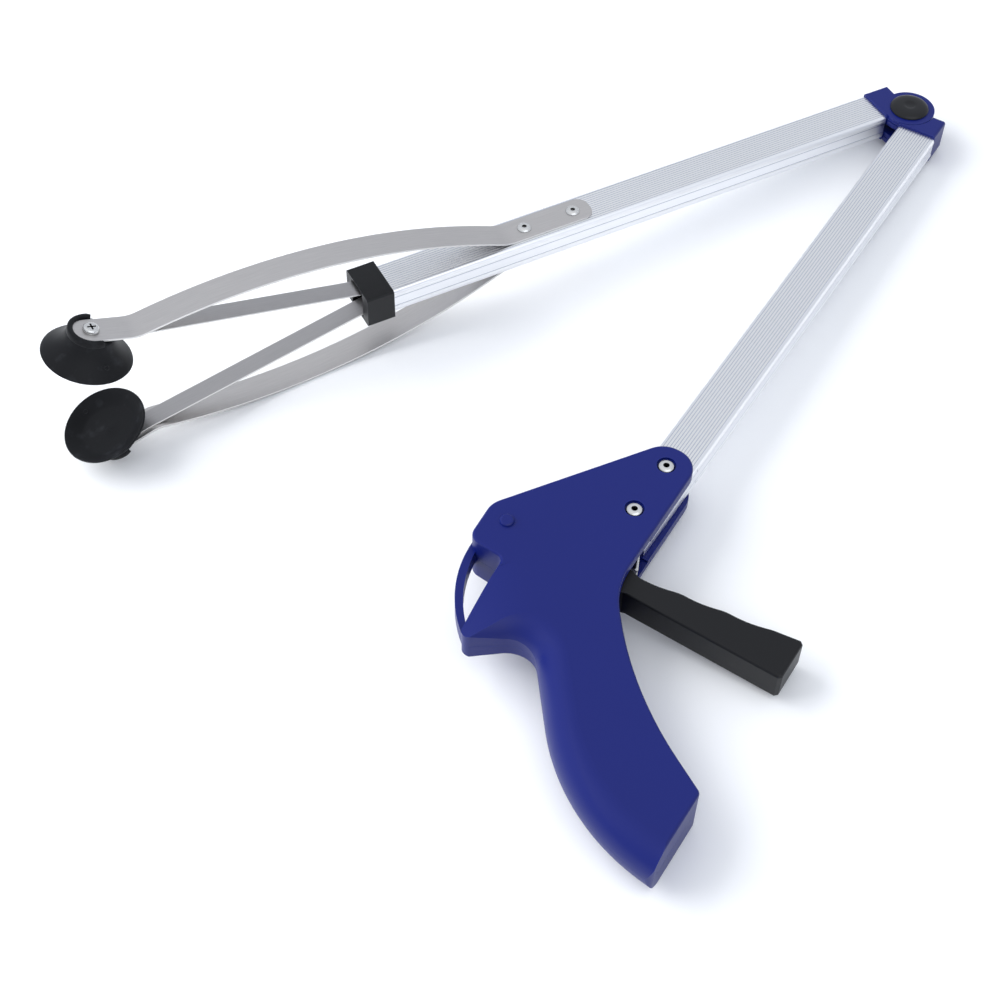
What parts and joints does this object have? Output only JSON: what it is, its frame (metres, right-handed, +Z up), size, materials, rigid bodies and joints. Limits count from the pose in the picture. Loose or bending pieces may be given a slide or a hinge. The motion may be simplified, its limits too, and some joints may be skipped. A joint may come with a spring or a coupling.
{
  "type": "folding reacher grabber",
  "caption": "Folding reacher grabber: two aluminium tubes on a folding hinge, a pistol handle with a trigger at one end and sprung steel jaws with rubber cups at the other.",
  "frame": {"origin": "on the table, under the centre of the part's bounding box", "axes": "+Z up from the table the folded tool lies on, +Y from the grip towards the folding hinge, along the rear tube, +X across"},
  "size_m": [0.3152, 0.4158, 0.075],
  "materials": {
    "blue_plastic": "semi-gloss moulded plastic",
    "black_plastic": "fine matte moulded plastic",
    "aluminium_tube": "satin anodised, fluted",
    "rivet_metal": "bright",
    "steel_wire": "bright drawn wire",
    "spring_steel": "satin strip steel",
    "screw_metal": "bright plated",
    "cup_rubber": "soft matte rubber"
  },
  "bodies": {
    "handle": {"handle_upper_shell": "blue_plastic", "handle_lower_shell": "blue_plastic", "handle_rivets": "rivet_metal", "trigger_pin": "steel_wire", "trigger_spring": "steel_wire", "rear_tube": "aluminium_tube", "rear_knuckle": "blue_plastic", "pivot_cap_upper": "black_plastic", "pivot_cap_lower": "black_plastic"},
    "trigger": {"trigger": "black_plastic"},
    "rear_wire": {"pull_wire_rear": "steel_wire", "wire_eyelet": "steel_wire", "ferrule_rear": "steel_wire", "fold_cable": "steel_wire"},
    "front_arm": {"front_tube": "aluminium_tube", "front_knuckle": "blue_plastic", "end_cap": "black_plastic", "upper_strip_root": "spring_steel", "upper_strip_rivets": "rivet_metal", "lower_strip_root": "spring_steel", "lower_strip_rivets": "rivet_metal"},
    "front_wire": {"pull_wire_front": "steel_wire", "ferrule_front": "steel_wire", "slider": "black_plastic", "slider_pin": "steel_wire"},
    "upper_mid": {"upper_strip_mid": "spring_steel"},
    "upper_tip": {"upper_strip_tip": "spring_steel", "upper_pull_strip_end": "spring_steel", "upper_cup": "cup_rubber", "upper_cup_screw": "screw_metal"},
    "upper_link": {"upper_pull_strip": "spring_steel"},
    "lower_mid": {"lower_strip_mid": "spring_steel"},
    "lower_tip": {"lower_strip_tip": "spring_steel", "lower_pull_strip_end": "spring_steel", "lower_cup": "cup_rubber", "lower_cup_screw": "screw_metal"},
    "lower_link": {"lower_pull_strip": "spring_steel"}
  },
  "joints": [
    {"name": "fold", "type": "hinge", "parent": "handle", "child": "front_arm", "pos_m": [0.06825, 0.196, 0.01009], "axis": [-0.0951, -0.0245, -0.9952], "range_deg": [-21.4, 149.6], "deforming": ["fold_cable"]},
    {"name": "trigger_squeeze", "type": "hinge", "parent": "handle", "child": "trigger", "pos_m": [0.04083, -0.11288, 0.02031], "axis": [-0.0951, -0.0245, -0.9952], "range_deg": [0, 15], "stiffness_Nm_per_rad": 3, "springref_deg": -14.32, "deforming": ["trigger_spring"]},
    {"name": "rear_wire_pull", "type": "slide", "parent": "handle", "child": "rear_wire", "axis": [0.0012, -0.9997, 0.0245], "range_m": [0, 0.01266]},
    {"name": "front_wire_pull", "type": "slide", "parent": "front_arm", "child": "front_wire", "axis": [0.5027, 0.8617, -0.0692], "range_m": [0, 0.01266]},
    {"name": "upper_strip_bend", "type": "hinge", "parent": "front_arm", "child": "upper_mid", "pos_m": [-0.0456, 0.01813, 0.03366], "axis": [-0.8592, 0.5069, 0.0696], "range_deg": [0, 14.63]},
    {"name": "upper_tip_bend", "type": "hinge", "parent": "upper_mid", "child": "upper_tip", "pos_m": [-0.07294, -0.03126, 0.05587], "axis": [0.8592, -0.5069, -0.0696], "range_deg": [0, 30.62]},
    {"name": "upper_link_bend", "type": "hinge", "parent": "upper_tip", "child": "upper_link", "pos_m": [-0.124, -0.11871, 0.06247], "axis": [-0.8592, 0.5069, 0.0696], "range_deg": [0, 8.91]},
    {"name": "lower_strip_bend", "type": "hinge", "parent": "front_arm", "child": "lower_mid", "pos_m": [-0.04718, 0.01772, 0.01718], "axis": [0.8592, -0.5069, -0.0696], "range_deg": [0, 14.63]},
    {"name": "lower_tip_bend", "type": "hinge", "parent": "lower_mid", "child": "lower_tip", "pos_m": [-0.07799, -0.03256, 0.00298], "axis": [-0.8592, 0.5069, 0.0696], "range_deg": [0, 30.62]},
    {"name": "lower_link_bend", "type": "hinge", "parent": "lower_tip", "child": "lower_link", "pos_m": [-0.12897, -0.11999, 0.01043], "axis": [0.8592, -0.5069, -0.0696], "range_deg": [0, 8.91]}
  ],
  "couplings": [
    {"joint": "rear_wire_pull", "follows": "trigger_squeeze", "m_per_rad": 0.048367},
    {"joint": "front_wire_pull", "follows": "trigger_squeeze", "m_per_rad": 0.048367},
    {"joint": "upper_strip_bend", "follows": "trigger_squeeze", "ratio": 0.9754},
    {"joint": "upper_tip_bend", "follows": "trigger_squeeze", "ratio": 2.0411},
    {"joint": "upper_link_bend", "follows": "trigger_squeeze", "ratio": 0.59396},
    {"joint": "lower_strip_bend", "follows": "trigger_squeeze", "ratio": 0.9754},
    {"joint": "lower_tip_bend", "follows": "trigger_squeeze", "ratio": 2.0411},
    {"joint": "lower_link_bend", "follows": "trigger_squeeze", "ratio": 0.59396}
  ]
}
